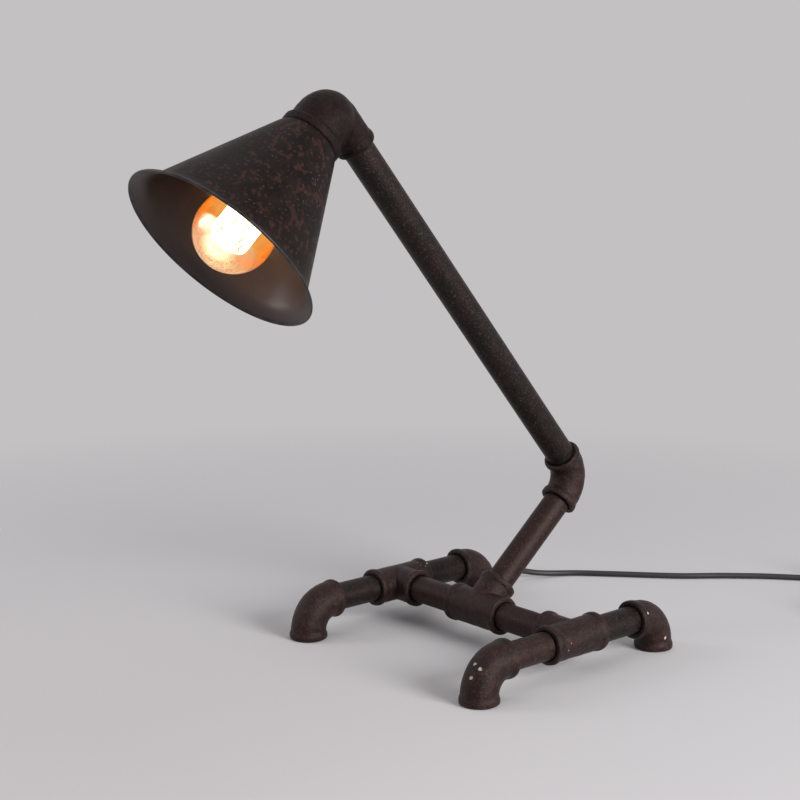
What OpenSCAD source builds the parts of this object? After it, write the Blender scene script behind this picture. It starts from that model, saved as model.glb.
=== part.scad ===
// Table lamp built from threaded steel pipe and malleable iron fittings.
// Two foot bars lie along Y and are joined by a crossbar along X. A riser leans
// back from the crossbar, and an arm leans forward from the riser to a cone
// shade that faces -Y. Lengths are in millimetres, angles in degrees.

/* [Base] */
// Outside diameter of the base and riser pipes
pipe_od = 25.9; // [25:0.1:27]
// Visible length of each foot-bar pipe
bar_gap = 47.2; // [30:1:80]
// Visible length of each crossbar pipe
cross_gap = 51.8; // [30:1:80]
// Distance of the crossbar behind the middle of the lamp's outline
base_back = 109; // [60:1:140]

/* [Fittings] */
// Centre of an elbow or tee to its face
reach = 33; // [31:0.5:36]
// Bend radius of the elbows
bend = 26; // [20:0.5:26]
// Diameter of a fitting's body
body_d = 33.8; // [31:0.1:34]
// Diameter of the bead round a fitting's mouth
bead_d = 36.4; // [35.5:0.1:38]
// Width of that bead
bead_w = 6.5; // [5:0.5:9]

/* [Arm] */
// Lean of the riser back from upright
riser_lean = 49.8; // [40:0.2:56]
// Crossbar axis to the corner of the middle elbow
riser_len = 168; // [120:1:230]
// Corner of the middle elbow to the corner of the head elbow
arm_len = 469.5; // [300:0.5:500]
// Outside diameter of the arm pipe
arm_od = 27.6; // [26.7:0.1:29]

/* [Head] */
// Angle of the shade past square to the arm
head_open = 2.6; // [0:0.2:4]
// Corner of the head elbow to its face at the arm
head_small = 39.8; // [36:0.2:44]
// Corner of the head elbow to its face at the shade
head_large = 36.4; // [36:0.2:44]
// Diameter of the head elbow's bead at the shade
head_bead_d = 56.8; // [52:0.2:58]
// Axial length of the shade's cone
shade_len = 113; // [90:1:130]
// Diameter of the cone at its wide end
shade_d = 156; // [120:1:160]
// Diameter of the flared lip
lip_d = 180.5; // [160:0.5:190]
// Axial length of the flared lip
lip_len = 10.5; // [4:0.5:12]

/* [Cord] */
// Diameter of the cord
cord_d = 6; // [5:0.5:6.5]
// Turns of the stored coil, in two layers
coil_turns = 5.5; // [3.5:1:7.5]

/* [Hidden] */
$fn = 64;

e = 0.01;

// Pipe threads: a plain cylinder at the root of the thread stands for each one.
pipe_bore = 21.2;
thread_r = 12.06;
thread_fit = 0.05;
thread_deep = 13;
grip = 12.5;
mouth_deep = 2.5;
mouth_gap = 0.5;
passage_r = pipe_bore / 2;

// Places of the fittings
axis_z = reach;
half_x = 2 * reach + cross_gap;
half_y = 2 * reach + bar_gap;
riser_dir = [0, sin(riser_lean), cos(riser_lean)];
arm_dir = [0, -cos(riser_lean), sin(riser_lean)];
shade_dir = [0, -sin(riser_lean - head_open), -cos(riser_lean - head_open)];
head_side = [0, cos(riser_lean - head_open), -sin(riser_lean - head_open)];
tee_at = [0, base_back, axis_z];
elbow_at = tee_at + riser_len * riser_dir;
head_at = elbow_at + arm_len * arm_dir;

// Head, measured along the shade's axis from the head elbow's corner
head_body_d = head_bead_d - 5.4;
large_thread_r = 19.5;
sheet = 1;
shade_start = head_large;
lip_start = shade_start + shade_len;

// Bulb, measured the same way from its contact tip
bulb_tip = head_large + 137.6;
bulb_len = 142;
bulb_from = bulb_tip - bulb_len;
bulb_r = 33.6;
glass_from = 22;
neck_to = 28.5;

// Lampholder
holder_from = bulb_from - 18;
holder_to = bulb_from + 27;
holder_r = 16.9;
holder_wall = 2.2;
holder_floor = 6;

// Inline switch, plug and cord
lead_r = cord_d / 2;
switch_l = 66;
switch_w = 26;
switch_h = 20;
plug_l = 34;
plug_w = 26;
plug_h = 24;

cast_colour = [0.23, 0.18, 0.175];
pipe_colour = [0.19, 0.175, 0.165];
shade_colour = [0.17, 0.15, 0.145];
black_colour = [0.07, 0.07, 0.07];
brass_colour = [0.78, 0.62, 0.32];

// ---------------------------------------------------------------- placing

// Turns the drawing so that its X and Z axes run along two given directions.
module aim(at, x, z) {
    y = cross(z, x);
    multmatrix([
        [x[0], y[0], z[0], at[0]],
        [x[1], y[1], z[1], at[1]],
        [x[2], y[2], z[2], at[2]],
        [0, 0, 0, 1],
    ]) children();
}

module at_head() aim(head_at, head_side, shade_dir) children();

module at_bulb() at_head() translate([0, 0, bulb_from]) children();

// ---------------------------------------------------------------- fittings

// Round-edged ring, solid to the axis, standing on z = 0.
module bead(r, w, round) {
    rotate_extrude() {
        square([r - round, w]);
        translate([0, round]) square([r, w - 2 * round]);
        for (z = [round, w - round]) translate([r - round, z]) circle(round);
    }
}

// Where a straight leg laps over a bend it stands this much proud.
lap = 0.2;

// Outside of one leg of a fitting, from z = from to its face at z = to.
module leg(from, to, body_r, bead_r) {
    translate([0, 0, from]) cylinder(r = body_r, h = to - from);
    translate([0, 0, to - bead_w]) bead(bead_r, bead_w, 2);
    translate([0, 0, to - bead_w - 1.5]) cylinder(r1 = body_r, r2 = bead_r - 0.6, h = 2.5);
}

// Inside of one leg: passage, threaded length and the open mouth before it.
module leg_bore(from, to, mouth_r) {
    translate([0, 0, from]) cylinder(r = passage_r, h = to - from);
    translate([0, 0, to - thread_deep]) cylinder(r = thread_r, h = thread_deep + e);
    translate([0, 0, to - mouth_deep]) cylinder(r = mouth_r, h = mouth_deep + 1);
}

// Quarter bend between the +X and +Z legs.
module quarter(r, bend_r) {
    translate([bend_r, 0, bend_r]) rotate([90, 0, 0])
        rotate_extrude(angle = 90, start = 180) translate([bend_r, 0]) circle(r);
}

// Elbow with legs along +X and +Z.
module elbow(mouth_x, mouth_z) {
    difference() {
        union() {
            quarter(body_d / 2, bend);
            for (turn = [0, 90]) rotate([0, turn, 0])
                leg(bend - 1, reach, body_d / 2 + lap, bead_d / 2);
        }
        quarter(passage_r, bend);
        leg_bore(reach - 10, reach, mouth_z);
        rotate([0, 90, 0]) leg_bore(reach - 10, reach, mouth_x);
    }
}

// Tee with its run along X and its branch along +Z.
module tee(mouth_r) {
    difference() {
        union() {
            for (turn = [-90, 0, 90]) rotate([0, turn, 0]) leg(0, reach, body_d / 2, bead_d / 2);
        }
        for (turn = [-90, 0, 90]) rotate([0, turn, 0]) leg_bore(0, reach, mouth_r);
    }
}

base_mouth_r = pipe_od / 2 + mouth_gap;
arm_mouth_r = arm_od / 2 + mouth_gap;

// Pipe along +Z between two fittings whose corners are length apart.
module pipe(od, length, from_reach, to_reach) {
    shoulder = 1;
    thread_from = from_reach - grip;
    thread_to = length - to_reach + grip;
    difference() {
        union() {
            translate([0, 0, from_reach - shoulder])
                cylinder(d = od, h = length - from_reach - to_reach + 2 * shoulder);
            translate([0, 0, thread_from])
                cylinder(r = thread_r - thread_fit, h = thread_to - thread_from);
        }
        translate([0, 0, thread_from - 1])
            cylinder(d = pipe_bore, h = thread_to - thread_from + 2);
    }
}

// ---------------------------------------------------------------- base

module foot_at(side, end) translate([side * half_x, base_back + end * half_y, axis_z])
    aim([0, 0, 0], [0, -end, 0], [0, 0, -1]) children();

module foot_elbow(side, end) color(cast_colour) foot_at(side, end) elbow(base_mouth_r, base_mouth_r);

bush_z = 14;
bush_hole_r = 5.2;
bush_seat = base_back + half_y + 14.2;
bush_len = 30;

// The rear left foot also has the hole that the cord comes out of.
module foot_elbow_rl() {
    color(cast_colour) difference() {
        foot_elbow(-1, 1);
        translate([-half_x, base_back + half_y + 4, bush_z]) rotate([-90, 0, 0])
            cylinder(r = bush_hole_r, h = 30);
        translate([-half_x, bush_seat, bush_z]) rotate([-90, 0, 0]) cylinder(r = 8.4, h = 30);
    }
}

module bar_pipe(side, end) {
    color(pipe_colour) translate([side * half_x, base_back, axis_z])
        aim([0, 0, 0], [1, 0, 0], [0, end, 0]) pipe(pipe_od, half_y, reach, reach);
}

module side_tee(side) {
    color(cast_colour) translate([side * half_x, base_back, axis_z])
        aim([0, 0, 0], [0, side, 0], [-side, 0, 0]) tee(base_mouth_r);
}

module cross_pipe(side) {
    color(pipe_colour) translate(tee_at)
        aim([0, 0, 0], [0, 0, 1], [side, 0, 0]) pipe(pipe_od, half_x, reach, reach);
}

// Tapered strain relief, pressed into the foot's hole.
module cord_bush() {
    color(black_colour) translate([-half_x, bush_seat, bush_z]) rotate([-90, 0, 0]) difference() {
        union() {
            translate([0, 0, -7]) cylinder(r = bush_hole_r - thread_fit, h = 7 + e);
            bead(8, 3, 1);
            translate([0, 0, 3 - e]) cylinder(r1 = 5.6, r2 = lead_r + 0.9, h = bush_len - 3);
            for (i = [0 : 4]) translate([0, 0, 6 + 4.5 * i]) bead(5.7 - 0.35 * i, 2, 0.6);
        }
        translate([0, 0, -8]) cylinder(r = lead_r + thread_fit, h = bush_len + 10);
    }
}

cord_exit = [-half_x, bush_seat + bush_len, bush_z];

module base_lead() {
    foot = [-half_x, base_back + half_y, axis_z];
    side = [-half_x, base_back, axis_z];
    down = bush_z - axis_z;
    color(black_colour) tube([
        cord_exit, foot + [0, 8, down], foot + [0, 0, down + 1], foot + [0, -7, down + 5],
        foot + [0, -14, -8], foot + [0, -21, -3], foot + [0, -30, 0],
        side + [0, 17, 0], side + [1, 9, 0], side + [4, 4, 0], side + [9, 1, 0], side + [17, 0, 0],
        tee_at - [20, 0, 0],
    ], 8);
}

// ---------------------------------------------------------------- riser and arm

module centre_tee() {
    color(cast_colour) translate(tee_at) rotate([-riser_lean, 0, 0]) tee(base_mouth_r);
}

module riser_pipe() {
    color(pipe_colour) translate(tee_at) rotate([-riser_lean, 0, 0])
        pipe(pipe_od, riser_len, reach, reach);
}

joint_gap = 0.4;
swing_cut = riser_len - 24;
turn_cut = arm_len - 30;

module riser_lead() {
    color(black_colour) tube([
        tee_at - [20 - joint_gap, 0, 0],
        tee_at - [12, 0, 0],
        tee_at - [4, 0, 0] + 4 * riser_dir,
        tee_at + 12 * riser_dir,
        tee_at + swing_cut * riser_dir,
    ], 8);
}

module middle_elbow() {
    color(cast_colour) aim(elbow_at, -riser_dir, arm_dir) elbow(base_mouth_r, arm_mouth_r);
}

module arm_pipe() {
    color(pipe_colour) aim(elbow_at, -riser_dir, arm_dir) pipe(arm_od, arm_len, reach, head_small);
}

module arm_lead() {
    color(black_colour) tube([
        tee_at + (swing_cut + joint_gap) * riser_dir,
        elbow_at - 18 * riser_dir,
        elbow_at - 9 * riser_dir + arm_dir,
        elbow_at - 4 * riser_dir + 4 * arm_dir,
        elbow_at - riser_dir + 9 * arm_dir,
        elbow_at + 18 * arm_dir,
        elbow_at + turn_cut * arm_dir,
    ], 8);
}

// ---------------------------------------------------------------- head

// The reducing elbow is a dome over the shade with the arm's leg let into its side.
module head_elbow() {
    large_r = head_body_d / 2;
    small_r = body_d / 2 + lap;
    dome_h = 30.5;
    dome_z = 15.5;
    leg_from = 6.5;
    steps = 10;
    color(cast_colour) at_head() difference() {
        union() {
            rotate_extrude() polygon(concat(
                [for (i = [0 : steps]) let (a = 90 * i / steps)
                    [large_r * sin(a), dome_z - dome_h * cos(a)]],
                [[large_r, head_large - 2], [0, head_large - 2]]
            ));
            translate([0, 0, head_large - 9]) bead(head_bead_d / 2, 9, 2.5);
            rotate([0, 90 - head_open, 0]) {
                leg(leg_from, head_small, small_r, bead_d / 2);
                translate([0, 0, leg_from]) sphere(small_r - lap);
            }
        }
        translate([0, 0, holder_from - 4]) cylinder(r = large_thread_r, h = 60);
        sphere(12.5);
        rotate([0, 90 - head_open, 0]) leg_bore(0, head_small, arm_mouth_r);
    }
}

module head_lead() {
    color(black_colour) tube([
        head_at - (arm_len - turn_cut - joint_gap) * arm_dir,
        head_at - 14 * arm_dir,
        head_at - 8 * arm_dir + shade_dir,
        head_at - 3 * arm_dir + 4 * shade_dir,
        head_at + 9 * shade_dir,
        head_at + (holder_from + holder_floor - 2) * shade_dir,
    ], 8);
}

// Spun steel cone with a flat top that the collar clamps, and a flared lip.
module shade() {
    top_r = head_bead_d / 2 - 0.4;
    wide_r = shade_d / 2;
    edge = 1.3;
    color(shade_colour) at_head() rotate_extrude($fn = 128) {
        polygon([
            [large_thread_r + 0.1, shade_start],
            [top_r, shade_start],
            [wide_r, lip_start],
            [lip_d / 2 - edge, lip_start + lip_len],
            [lip_d / 2 - edge - sheet, lip_start + lip_len],
            [wide_r - sheet, lip_start + sheet],
            [top_r - sheet, shade_start + sheet],
            [large_thread_r + 0.1, shade_start + sheet],
        ]);
        translate([lip_d / 2 - edge, lip_start + lip_len - edge / 2]) circle(edge);
    }
}

// Screws into the head elbow through the shade and holds both the shade and the lampholder.
module shade_collar() {
    color(cast_colour) at_head() difference() {
        union() {
            translate([0, 0, shade_start + sheet]) bead(24, 3, 0.8);
            translate([0, 0, shade_start - 13]) cylinder(r = large_thread_r - thread_fit, h = 15);
        }
        translate([0, 0, shade_start - 14]) cylinder(r = holder_r + 0.1, h = 20);
    }
}

module lampholder() {
    rim_z = shade_start + sheet + 3;
    color(black_colour) at_head() difference() {
        union() {
            translate([0, 0, holder_from]) cylinder(r = holder_r, h = holder_to - holder_from);
            translate([0, 0, rim_z]) bead(holder_r + 2.2, 3, 0.8);
        }
        translate([0, 0, holder_from + holder_floor])
            cylinder(r = holder_r - holder_wall, h = holder_to);
        translate([0, 0, holder_from - 1]) cylinder(r = lead_r + thread_fit, h = holder_floor + 2);
        for (s = [-1, 1]) translate([0, s * 9, holder_from - 1])
            cylinder(r = 1.8, h = holder_floor + 2);
    }
}

module lampholder_nut() {
    color(brass_colour) at_head() translate([0, 0, shade_start - 13 - 4.2]) difference() {
        bead(large_thread_r - 0.6, 4, 0.6);
        translate([0, 0, -1]) cylinder(r = holder_r + 0.05, h = 6);
    }
}

module screw_shell() {
    color(brass_colour) at_bulb() difference() {
        translate([0, 0, 1]) cylinder(r = holder_r - holder_wall - 0.05, h = 23);
        translate([0, 0, 2]) cylinder(r = 13.5, h = 30);
        cylinder(r = 8.5, h = 10);
    }
}

// Spring strip that the bulb's contact rests on.
module centre_spring() {
    color(brass_colour) at_head() translate([0, 0, holder_from + holder_floor]) {
        translate([4.2, -3, 0]) cube([5.5, 6, 0.8]);
        translate([4.2, -3, 0]) cube([0.8, 6, 11.7]);
        translate([-4, -3, 10.9]) cube([9, 6, 0.8]);
    }
}

module terminal_screws() {
    color(brass_colour) at_head() for (s = [-1, 1]) translate([0, s * 9, holder_from - 2]) {
        cylinder(r = 2.8, h = 1.9);
        cylinder(r = 1.7, h = 7);
    }
}

// ---------------------------------------------------------------- bulb

function smooth(t) = t * t * (3 - 2 * t);

// Half outline of the teardrop glass, inset by wall, from the neck to the tip.
function glass_outline(wall) =
    let (wide_z = bulb_len - bulb_r, rise = 14, dome = 14)
    concat(
        [[12.4 - wall, glass_from]],
        [for (i = [0 : rise]) let (t = i / rise)
            [12.4 + (bulb_r - 12.4) * smooth(pow(t, 0.92)) - wall, neck_to + (wide_z - neck_to) * t]],
        [for (i = [1 : dome - 1]) let (a = 90 * i / dome)
            [(bulb_r - wall) * cos(a), wide_z + (bulb_r - wall) * sin(a)]]
    );

module bulb_glass() {
    wall = 0.9;
    outer = glass_outline(0);
    inner = glass_outline(wall);
    color([0.95, 0.75, 0.45, 0.4]) at_bulb() rotate_extrude($fn = 96) polygon(concat(
        outer,
        [[0, bulb_len], [0, bulb_len - wall]],
        [for (i = [len(inner) - 1 : -1 : 0]) inner[i]]
    ));
}

// Screw cap with the round thread drawn as rings.
module bulb_cap() {
    rings = 5;
    pitch = 3.62;
    color(brass_colour) at_bulb() difference() {
        union() {
            translate([0, 0, 5]) cylinder(r = 12.2, h = 21);
            for (i = [0 : rings - 1]) translate([0, 0, 5.6 + pitch * i]) bead(13, 2.4, 1.1);
            translate([0, 0, 24.4]) bead(13.1, 3.6, 0.8);
        }
        translate([0, 0, 4]) cylinder(r = 11.6, h = 18);
        translate([0, 0, 21.9]) cylinder(r = 12.45, h = 8);
    }
}

module bulb_insulator() {
    color(black_colour) at_bulb() difference() {
        union() {
            translate([0, 0, 1.2]) cylinder(r1 = 5.5, r2 = 11.5, h = 3.8);
            translate([0, 0, 5 - e]) cylinder(r = 11.5, h = 1.6);
        }
        translate([0, 0, -1]) cylinder(r = 4.05, h = 4);
    }
}

module bulb_contact() {
    color("silver") at_bulb() {
        translate([0, 0, 1]) cylinder(r = 4, h = 1.8);
        intersection() {
            translate([0, 0, 4.6]) sphere(4.6);
            cylinder(r = 4, h = 1 + e);
        }
    }
}

stem_from = 23;
stem_to = 112;
cage_low = 58;
cage_high = 108;

// Glass stem: a flare sealed to the neck, and the rod that holds the cage.
module bulb_stem() {
    color([0.85, 0.85, 0.85, 0.5]) at_bulb() {
        translate([0, 0, stem_from]) cylinder(r1 = 10.6, r2 = 4.5, h = 14);
        translate([0, 0, stem_from + 14 - e]) cylinder(r = 4.5, h = 13);
        translate([0, 0, stem_from + 27 - 2 * e]) cylinder(r1 = 4.5, r2 = 1.8, h = 4);
        translate([0, 0, stem_from + 31 - 3 * e]) cylinder(r = 1.8, h = stem_to - stem_from - 31);
        translate([0, 0, stem_to]) sphere(2.6);
    }
}

hooks = 15;
low_r = 11;
high_r = 15;

// Hook number i: even ones hold the cage's low end, and odd ones its high end.
function hook(i) = let (a = 360 / (hooks + 1) * i, r = i % 2 == 0 ? low_r : high_r)
    [r * cos(a), r * sin(a), i % 2 == 0 ? cage_low : cage_high];

module rod(a, b, r) {
    run = b - a;
    side = abs(run[2]) > 0.9 * norm(run) ? [1, 0, 0] : [0, 0, 1];
    z = run / norm(run);
    x = cross(side, z) / norm(cross(side, z));
    aim(a, x, z) cylinder(r = r, h = norm(run));
}

// Fine wires from the rod out to the filament's hooks, and the two that feed its ends.
module filament_supports() {
    color("silver") at_bulb() {
        for (i = [0 : hooks - 1]) {
            tip = hook(i);
            way = unit([tip[0], tip[1]]);
            rod([1.85 * way[0], 1.85 * way[1], tip[2]],
                [(norm([tip[0], tip[1]]) - 0.8) * way[0], (norm([tip[0], tip[1]]) - 0.8) * way[1], tip[2]],
                0.25);
        }
        for (i = [0, hooks - 1]) {
            tip = hook(i);
            rod([0.45 * tip[0], 0.45 * tip[1], stem_from + 16], [tip[0], tip[1], tip[2] - 0.9], 0.3);
        }
    }
}

// Filament drawn up and down round the cage, open between its two ends.
module filament() {
    color([1, 0.75, 0.35]) at_bulb() for (i = [0 : hooks - 2]) {
        rod(hook(i), hook(i + 1), 0.35);
        translate(hook(i + 1)) sphere(0.4);
    }
}

// ---------------------------------------------------------------- cord

// Inline switch: the middle of its underside, and the way the cord runs through it.
switch_at = [128, 551.5, 0];
switch_turn = 41.5;
switch_dir = [cos(switch_turn), sin(switch_turn), 0];
cord_z = 9.5;

// Points along the cord from the foot's strain relief to the inline switch.
lead_route = [
    cord_exit, [-117.4, 277, 12.6], [-116, 289, 9.4], [-113, 301, 6.4], [-108.5, 314, 4.3],
    [-102, 327, 3.3], [-93, 340, 3], [-82, 351, 3], [-70, 362, 3], [-56, 375, 3],
    [-42, 387.5, 3], [-26, 402, 3], [-10.5, 417, 3], [3, 433, 3], [16.5, 449.5, 3],
    [31, 465, 3], [46, 480.5, 3], [62, 494.5, 3], [78, 508, 3], [88, 516.7, 4.2],
    [96, 523.6, 7.6], switch_at - switch_l / 2 * switch_dir + [0, 0, cord_z],
];

// Points along the cord from the switch to the start of the coil.
link_route = [
    switch_at + switch_l / 2 * switch_dir + [0, 0, cord_z], [162, 580.5, 8.6], [174, 587, 6],
    [188, 591, 3.3], [203, 591, 3], [218, 587, 3], [231, 578.5, 3], [241.5, 566, 3],
    [249, 550, 3], [253.5, 532, 3], [256, 512, 3], [256, 491, 3], [253.5, 470, 3],
];

// Points along the cord from the coil's top layer to the plug.
tail_route = [[167, 474, 10.3], [169.3, 484, 11.5], [172, 494, 12]];

// Plug: the way its blades point.
plug_dir = [sin(14.5), cos(14.5), 0];
plug_relief = 22;
plug_axis_z = plug_h / 2;

function unit(v) = v / norm(v);

// Point half way from point i of a route to the next, on a smooth curve.
function between(route, i) =
    let (n = len(route), a = route[max(i - 1, 0)], b = route[i], c = route[i + 1],
         d = route[min(i + 2, n - 1)])
    (9 * (b + c) - a - d) / 16;

function smoothed(route) = concat(
    [for (i = [0 : len(route) - 2]) each [route[i], between(route, i)]],
    [route[len(route) - 1]]
);

function tangent(points, i) =
    unit(points[min(i + 1, len(points) - 1)] - points[max(i - 1, 0)]);

// Tube of the cord's diameter along points that never run straight up.
module tube(points, sides) {
    n = len(points);
    ring = [for (i = [0 : n - 1])
        let (t = tangent(points, i), s = unit(cross(t, [0, 0, 1])), u = cross(s, t))
        for (k = [0 : sides - 1]) let (a = 360 * (k + 0.5) / sides - 90)
            points[i] + lead_r * (cos(a) * s + sin(a) * u)];
    walls = [for (i = [0 : n - 2]) for (k = [0 : sides - 1])
        let (a = i * sides + k, b = i * sides + (k + 1) % sides)
        each [[a, b, b + sides], [a, b + sides, a + sides]]];
    first = [for (k = [1 : sides - 2]) [0, k + 1, k]];
    last = [for (k = [1 : sides - 2]) [(n - 1) * sides, (n - 1) * sides + k, (n - 1) * sides + k + 1]];
    polyhedron(ring, concat(walls, first, last));
}

module cord_lead() {
    color(black_colour) tube(smoothed(lead_route), 8);
}

module cord_link() {
    color(black_colour)
        tube(smoothed(concat(link_route, [coil_points[0] - end_gap * coil_way(0)])), 8);
}

module cord_tail() {
    color(black_colour)
        tube(smoothed(concat([coil_end + end_gap * coil_way(coil_turns)], tail_route)), 8);
}

// Coil: winds in on the floor, climbs a layer in half a turn, and winds out on top.
coil_at = [206, 452];
coil_r = 43;
coil_pitch = 6.9;
coil_rise = 6.8;
coil_start = -9;
coil_rings = 24;

function coil_radius(t) = coil_r - coil_pitch * min(t, coil_turns - t);
function coil_height(t) = lead_r + coil_rise * smooth(min(1, max(0, t - coil_turns / 2 + 0.25) * 2));
function coil_point(t) = let (a = coil_start - 360 * t)
    [coil_at[0] + coil_radius(t) * cos(a), coil_at[1] + coil_radius(t) * sin(a), coil_height(t)];
function coil_way(t) = let (a = coil_start - 360 * t) [sin(a), -cos(a), 0];

coil_points = concat(
    [coil_point(0) - cord_d * coil_way(0)],
    [for (i = [0 : coil_rings * coil_turns]) coil_point(i / coil_rings)],
    [coil_point(coil_turns) + cord_d * coil_way(coil_turns)]
);

coil_end = coil_points[len(coil_points) - 1];
end_gap = 0.5;

coil_gap = min([for (i = [1 : len(coil_points) - 2])
    for (k = [i + coil_rings / 2 : 1 : len(coil_points) - 2])
        norm(coil_points[i] - coil_points[k])]) - cord_d;
echo(str("least gap of the coil to itself: ", coil_gap));

module cord_coil() {
    color(black_colour) tube(coil_points, 6);
}

// ---------------------------------------------------------------- inline switch

module at_switch() aim(switch_at, switch_dir, [0, 0, 1]) children();

rocker_l = 19;
rocker_w = 11.4;
rocker_z = 16.4;
rocker_tilt = 8;
pin_r = 1.2;
screw_x = 24;

module switch_outline(inset) {
    square([switch_l - 22 - 2 * inset, switch_w - 2 * inset], center = true);
    square([switch_l - 8 - 2 * inset, switch_w - 14 - 2 * inset], center = true);
    for (x = [-1, 1], y = [-1, 1])
        translate([x * (switch_l / 2 - 11), y * (switch_w / 2 - 7)]) circle(7 - inset);
}

// Closed casing of both halves, with a round nose where the cord goes in and out.
module switch_casing() {
    difference() {
        union() {
            linear_extrude(switch_h) switch_outline(0);
            for (s = [-1, 1]) translate([0, 0, cord_z]) rotate([0, 90 * s, 0])
                cylinder(r = 5.4, h = switch_l / 2);
        }
        translate([0, 0, 2]) linear_extrude(switch_h - 4) switch_outline(2);
    }
}

module screw_posts(r) {
    for (x = [-screw_x, screw_x]) translate([x, 0, 1]) cylinder(r = r, h = switch_h - 2);
}

module switch_base() {
    color(black_colour) at_switch() difference() {
        intersection() {
            union() {
                switch_casing();
                screw_posts(3.4);
            }
            translate([-50, -50, 0]) cube([100, 100, cord_z]);
        }
        screw_posts(1.6);
        for (x = [-screw_x, screw_x]) translate([x, 0, -1]) cylinder(r = 3, h = 3.2);
    }
}

module switch_cover() {
    color(black_colour) at_switch() difference() {
        union() {
            intersection() {
                difference() {
                    union() {
                        switch_casing();
                        screw_posts(3.4);
                    }
                    screw_posts(1.35);
                    translate([-rocker_l / 2 - 1.2, -rocker_w / 2 - 0.4, 10])
                        cube([rocker_l + 2.4, rocker_w + 0.8, 12]);
                }
                translate([-50, -50, cord_z]) cube([100, 100, 50]);
                translate([-50, -50, 0]) cube([100, 100, switch_h]);
            }
            for (s = [-1, 1]) translate([-3, s * 7.1 - 1, rocker_z - 2.4]) cube([6, 2, 4.6]);
        }
        translate([0, -8.6, rocker_z]) rotate([-90, 0, 0]) cylinder(r = pin_r + 0.05, h = 17.2);
    }
}

module switch_rocker() {
    half = rocker_l / 2;
    color([0.12, 0.12, 0.12]) at_switch() translate([0, 0, rocker_z]) rotate([90, -rocker_tilt, 0]) {
        translate([0, 0, -rocker_w / 2]) linear_extrude(rocker_w)
            polygon([[-half, 4.4], [0, 2.6], [half, 4.4], [half - 0.6, 0], [4, -2.4], [-4, -2.4], [-half + 0.6, 0]]);
        translate([0, 0, -7.9]) cylinder(r = pin_r, h = 15.8);
    }
}

// Two screw terminals and the sprung strip that the rocker tips.
module switch_contacts() {
    color(brass_colour) at_switch() {
        for (x = [-14, 14]) translate([x - 4, -4, 2.05]) cube([8, 8, 5]);
        translate([-8, -3, 2.05]) cube([16, 6, 1]);
        translate([-1, -2, 3.1]) cube([2, 4, 8]);
    }
}

module switch_screws() {
    color("silver") at_switch() for (x = [-screw_x, screw_x]) translate([x, 0, 0.4]) {
        cylinder(r = 2.7, h = 1.7);
        cylinder(r = 1.3, h = 14);
    }
}

// ---------------------------------------------------------------- plug

plug_back = tail_route[len(tail_route) - 1];

module at_plug() aim([plug_back[0], plug_back[1], plug_axis_z], [0, 0, 1], plug_dir) children();

module plug_outline(round) {
    square([plug_h - 2 * round, plug_w], center = true);
    square([plug_h, plug_w - 2 * round], center = true);
    for (x = [-1, 1], y = [-1, 1])
        translate([x * (plug_h / 2 - round), y * (plug_w / 2 - round)]) circle(round);
}

module plug_body() {
    color(black_colour) at_plug() {
        cylinder(r1 = lead_r + 0.9, r2 = 5.2, h = plug_relief);
        for (i = [0 : 3]) translate([0, 0, 2 + 5 * i]) bead(lead_r + 1.5 + 0.4 * i, 2.4, 0.7);
        translate([0, 0, plug_relief - e]) cylinder(r1 = 6.5, r2 = 10.5, h = 12);
        translate([0, 0, plug_relief + 11]) linear_extrude(plug_l - 11) plug_outline(6);
    }
}

blade_up = 3.5;

module plug_blades() {
    color("silver") at_plug() for (s = [-1, 1])
        translate([blade_up - 3.15, s * 6.35 - 0.75, plug_relief + plug_l + 2 * e]) cube([6.3, 1.5, 17.5]);
}

module plug_earth_pin() {
    color("silver") at_plug() translate([blade_up - 11.9, 0, plug_relief + plug_l + 2 * e]) {
        cylinder(r = 2.4, h = 18);
        translate([0, 0, 18 - e]) cylinder(r1 = 2.3, r2 = 1.3, h = 2);
    }
}

// ---------------------------------------------------------------- assembly

foot_elbow(-1, -1);  // foot_elbow_fl
foot_elbow(1, -1);  // foot_elbow_fr
foot_elbow_rl();
foot_elbow(1, 1);  // foot_elbow_rr
bar_pipe(-1, -1);  // bar_pipe_fl
bar_pipe(1, -1);  // bar_pipe_fr
bar_pipe(-1, 1);  // bar_pipe_rl
bar_pipe(1, 1);  // bar_pipe_rr
side_tee(-1);  // side_tee_left
side_tee(1);  // side_tee_right
cross_pipe(-1);  // cross_pipe_left
cross_pipe(1);  // cross_pipe_right
base_lead();
cord_bush();
centre_tee();
riser_pipe();
riser_lead();
middle_elbow();
arm_pipe();
arm_lead();
head_elbow();
head_lead();
shade();
shade_collar();
lampholder();
lampholder_nut();
screw_shell();
centre_spring();
terminal_screws();
bulb_glass();
bulb_cap();
bulb_insulator();
bulb_contact();
bulb_stem();
filament_supports();
filament();
switch_base();
switch_cover();
switch_rocker();
switch_contacts();
switch_screws();
cord_lead();
cord_link();
cord_coil();
cord_tail();
plug_body();
plug_blades();
plug_earth_pin();
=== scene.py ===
import bpy
import bmesh
import math
from mathutils import Matrix, Vector, noise


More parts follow.
